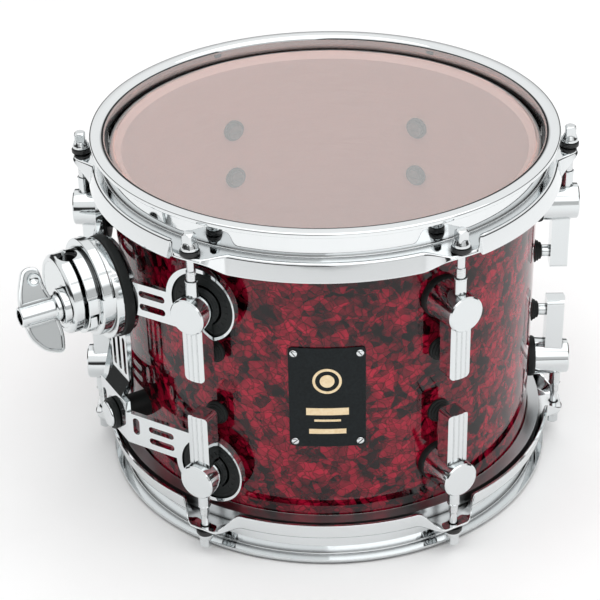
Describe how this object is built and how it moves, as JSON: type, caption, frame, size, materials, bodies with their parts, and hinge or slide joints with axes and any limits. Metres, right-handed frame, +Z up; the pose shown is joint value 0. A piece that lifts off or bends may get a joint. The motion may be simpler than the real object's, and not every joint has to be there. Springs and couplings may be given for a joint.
{
  "type": "mounted tom drum",
  "caption": "Small double-headed tom drum with a pearl-wrapped shell, chromed flanged hoops and lugs, a curved badge, and a rubber-isolated side bracket with a rod clamp.",
  "frame": {"origin": "on the plane the drum stands on, under the middle of the overall box; the drum axis is vertical at x = +10.6 mm", "axes": "+Z up along the drum axis, towards the batter head; the badge faces -Y; the mount bracket points towards -X and -Y; +X to the badge's right-hand side as seen from the front"},
  "size_m": [0.3246, 0.2804, 0.2201],
  "materials": {
    "beech_shell": "satin lacquered",
    "pearl_wrap": "gloss pearl pattern",
    "badge_enamel": "satin",
    "badge_emblem": "satin",
    "batter_film": "frosted translucent film",
    "resonant_film": "clear film",
    "flesh_hoop": "satin",
    "chrome_hoop": "polished",
    "chrome": "polished",
    "rod_steel": "polished",
    "black_nylon": "satin",
    "rubber": "matt",
    "zinc_steel": "satin"
  },
  "bodies": {
    "drum": {"shell": "beech_shell", "shell_wrap": "pearl_wrap", "badge_plate": "badge_enamel", "badge_emblem": "badge_emblem", "badge_pins": "chrome", "batter_film": "batter_film", "resonant_film": "resonant_film", "batter_flesh_hoop": "flesh_hoop", "resonant_flesh_hoop": "flesh_hoop", "batter_hoop": "chrome_hoop", "resonant_hoop": "chrome_hoop", "upper_lug_1": "chrome", "lower_lug_1": "chrome", "upper_lug_2": "chrome", "lower_lug_2": "chrome", "upper_lug_3": "chrome", "lower_lug_3": "chrome", "upper_lug_4": "chrome", "lower_lug_4": "chrome", "upper_lug_5": "chrome", "lower_lug_5": "chrome", "upper_lug_6": "chrome", "lower_lug_6": "chrome", "rod_sleeves": "chrome", "rod_washers": "black_nylon", "boss_gaskets": "rubber", "post_gaskets": "rubber", "mount_isolators": "rubber", "shell_bumper": "rubber", "bumper_ring": "rubber", "clamp_seal": "rubber", "lug_screws": "zinc_steel", "clamp_screws": "zinc_steel", "inner_washers": "black_nylon", "mount_bracket": "chrome", "bumper_bolt": "chrome", "clamp_base": "chrome", "base_bushing": "black_nylon"},
    "tension_rod_upper_1": {"upper_rod_1": "rod_steel"},
    "tension_rod_upper_2": {"upper_rod_2": "rod_steel"},
    "tension_rod_upper_3": {"upper_rod_3": "rod_steel"},
    "tension_rod_upper_4": {"upper_rod_4": "rod_steel"},
    "tension_rod_upper_5": {"upper_rod_5": "rod_steel"},
    "tension_rod_upper_6": {"upper_rod_6": "rod_steel"},
    "tension_rod_lower_1": {"lower_rod_1": "rod_steel"},
    "tension_rod_lower_2": {"lower_rod_2": "rod_steel"},
    "tension_rod_lower_3": {"lower_rod_3": "rod_steel"},
    "tension_rod_lower_4": {"lower_rod_4": "rod_steel"},
    "tension_rod_lower_5": {"lower_rod_5": "rod_steel"},
    "tension_rod_lower_6": {"lower_rod_6": "rod_steel"},
    "clamp_jaw": {"clamp_jaw": "chrome", "jaw_bushing": "black_nylon"},
    "wing_bolt": {"wing_bolt": "chrome"}
  },
  "joints": [
    {"name": "turn_upper_rod_1", "type": "hinge", "parent": "drum", "child": "tension_rod_upper_1", "pos_m": [-0.06175, -0.12531, 0.185], "axis": [0, 0, 1], "range_deg": [-315, 315]},
    {"name": "turn_upper_rod_2", "type": "hinge", "parent": "drum", "child": "tension_rod_upper_2", "pos_m": [0.08295, -0.12531, 0.185], "axis": [0, 0, 1], "range_deg": [-315, 315]},
    {"name": "turn_upper_rod_3", "type": "hinge", "parent": "drum", "child": "tension_rod_upper_3", "pos_m": [0.1553, 0, 0.185], "axis": [0, 0, 1], "range_deg": [-315, 315]},
    {"name": "turn_upper_rod_4", "type": "hinge", "parent": "drum", "child": "tension_rod_upper_4", "pos_m": [0.08295, 0.12531, 0.185], "axis": [0, 0, 1], "range_deg": [-315, 315]},
    {"name": "turn_upper_rod_5", "type": "hinge", "parent": "drum", "child": "tension_rod_upper_5", "pos_m": [-0.06175, 0.12531, 0.185], "axis": [0, 0, 1], "range_deg": [-315, 315]},
    {"name": "turn_upper_rod_6", "type": "hinge", "parent": "drum", "child": "tension_rod_upper_6", "pos_m": [-0.1341, 0, 0.185], "axis": [0, 0, 1], "range_deg": [-315, 315]},
    {"name": "turn_lower_rod_1", "type": "hinge", "parent": "drum", "child": "tension_rod_lower_1", "pos_m": [-0.06175, -0.12531, 0.0351], "axis": [0, 0, 1], "range_deg": [-315, 315]},
    {"name": "turn_lower_rod_2", "type": "hinge", "parent": "drum", "child": "tension_rod_lower_2", "pos_m": [0.08295, -0.12531, 0.0351], "axis": [0, 0, 1], "range_deg": [-315, 315]},
    {"name": "turn_lower_rod_3", "type": "hinge", "parent": "drum", "child": "tension_rod_lower_3", "pos_m": [0.1553, 0, 0.0351], "axis": [0, 0, 1], "range_deg": [-315, 315]},
    {"name": "turn_lower_rod_4", "type": "hinge", "parent": "drum", "child": "tension_rod_lower_4", "pos_m": [0.08295, 0.12531, 0.0351], "axis": [0, 0, 1], "range_deg": [-315, 315]},
    {"name": "turn_lower_rod_5", "type": "hinge", "parent": "drum", "child": "tension_rod_lower_5", "pos_m": [-0.06175, 0.12531, 0.0351], "axis": [0, 0, 1], "range_deg": [-315, 315]},
    {"name": "turn_lower_rod_6", "type": "hinge", "parent": "drum", "child": "tension_rod_lower_6", "pos_m": [-0.1341, 0, 0.0351], "axis": [0, 0, 1], "range_deg": [-315, 315]},
    {"name": "jaw_travel", "type": "slide", "parent": "drum", "child": "clamp_jaw", "axis": [-0.866, -0.5, 0], "range_m": [-0.00063, 0.0025]},
    {"name": "wing_turn", "type": "hinge", "parent": "clamp_jaw", "child": "wing_bolt", "pos_m": [-0.13903, -0.10082, 0.1555], "axis": [-0.866, -0.5, 0], "range_deg": [-180, 720]}
  ],
  "couplings": [
    {"joint": "wing_turn", "follows": "jaw_travel", "rad_per_m": 5026.5}
  ]
}
